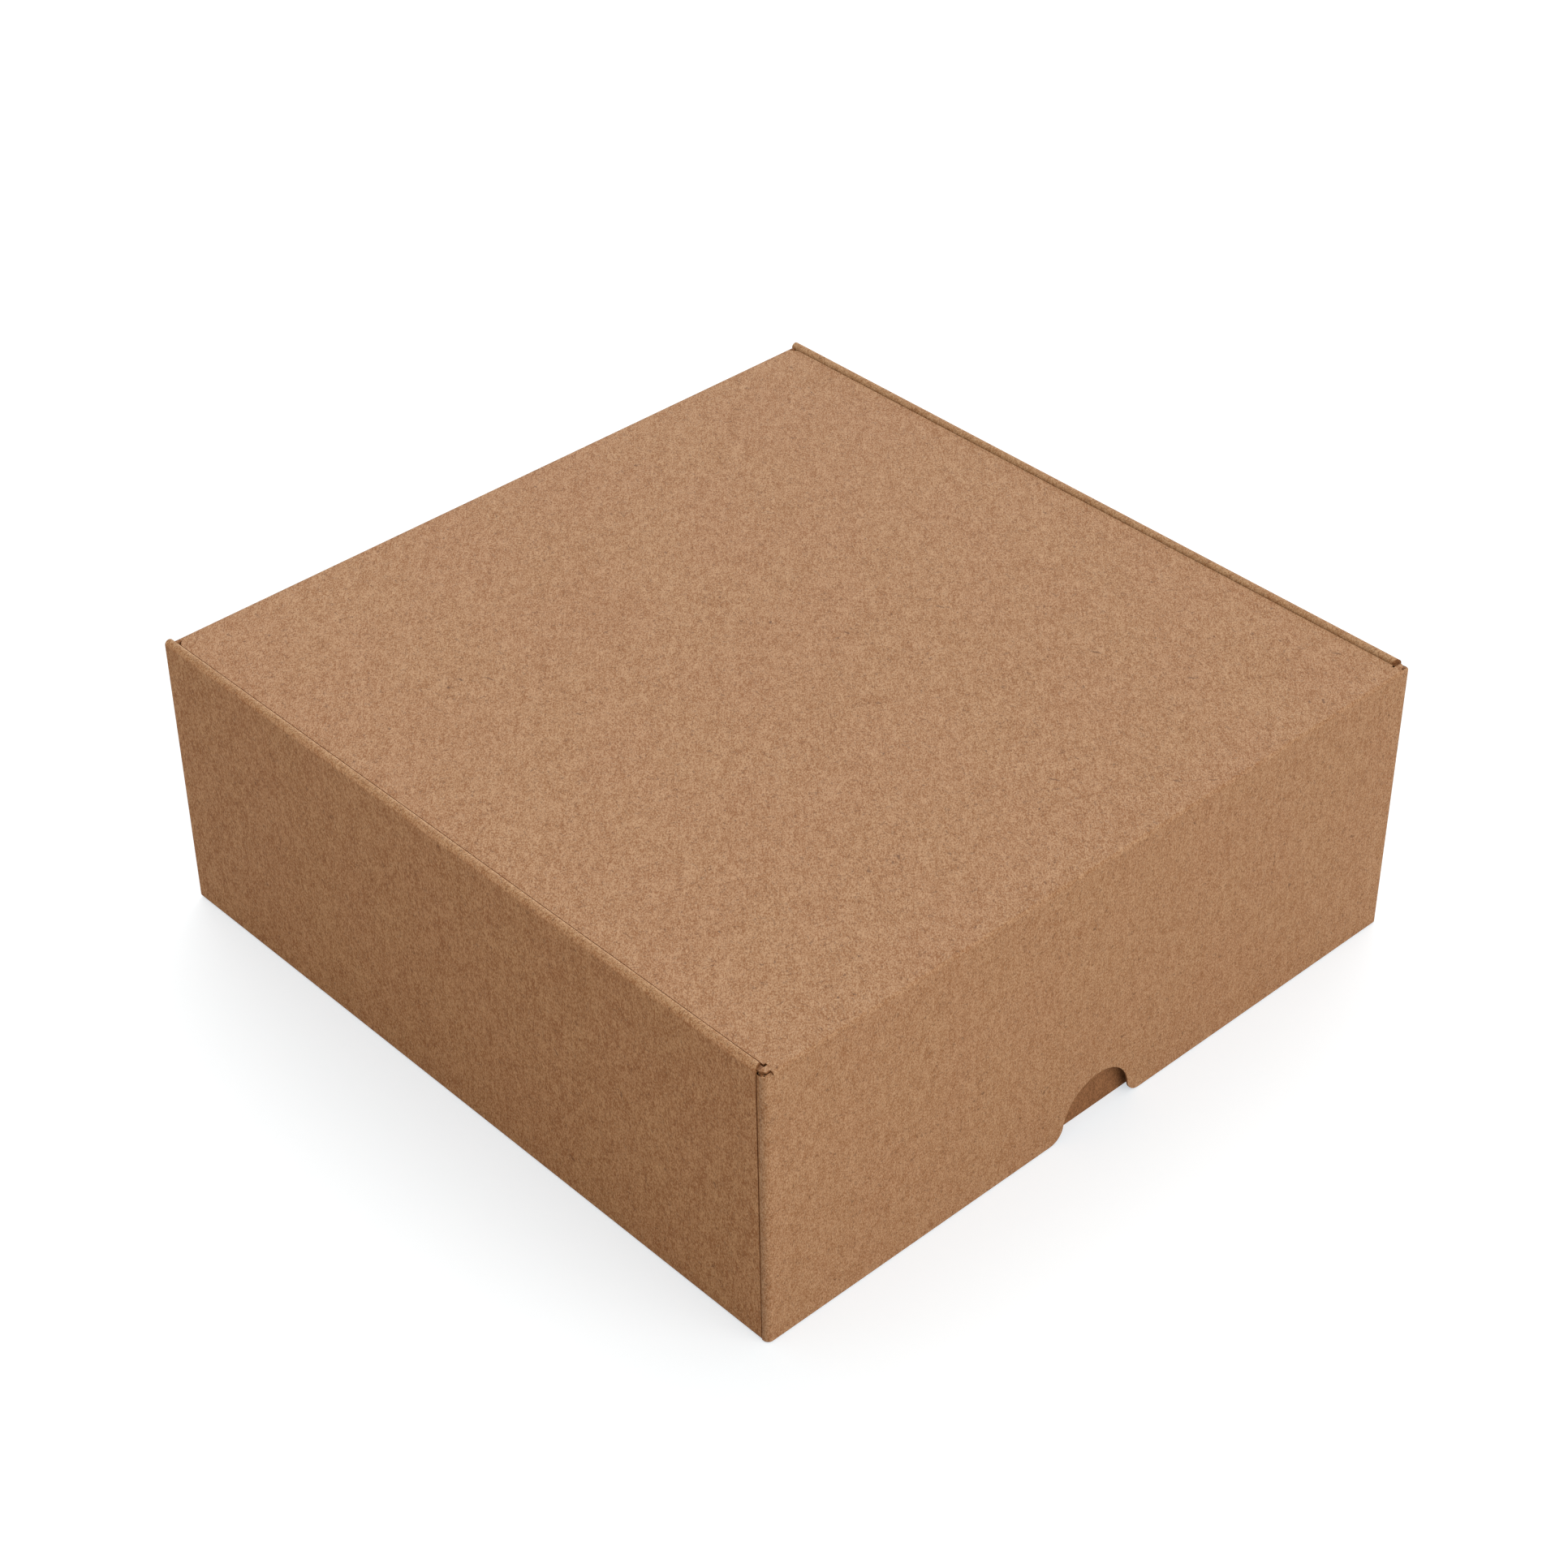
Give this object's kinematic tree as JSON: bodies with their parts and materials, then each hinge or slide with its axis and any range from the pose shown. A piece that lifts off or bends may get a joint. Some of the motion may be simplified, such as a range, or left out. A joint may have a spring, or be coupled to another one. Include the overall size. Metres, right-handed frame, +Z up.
{
  "type": "cardboard mailer box",
  "caption": "Closed roll-end mailer box folded from one sheet of thin kraft board, with rolled side rims, a hinged lid and a full-height front flap with a thumb notch.",
  "frame": {"origin": "middle of the box's footprint, on the surface it stands on", "axes": "+X to the right along the front, +Y from the front flap to the back wall, +Z up"},
  "size_m": [0.25, 0.253, 0.0945],
  "materials": {
    "kraft_board": "matt uncoated kraft liner, slightly fibrous, darker brown inside and at cut edges"
  },
  "bodies": {
    "tray": {"tray": "kraft_board"},
    "lid": {"lid": "kraft_board"},
    "front_flap": {"front_flap": "kraft_board"}
  },
  "joints": [
    {"name": "lid_hinge", "type": "hinge", "parent": "tray", "child": "lid", "pos_m": [0, 0.1255, 0.0924], "axis": [-1, 0, 0], "range_deg": [0, 180]},
    {"name": "front_flap_fold", "type": "hinge", "parent": "lid", "child": "front_flap", "pos_m": [0, -0.1255, 0.0924], "axis": [-1, 0, 0], "range_deg": [0, 90]}
  ]
}
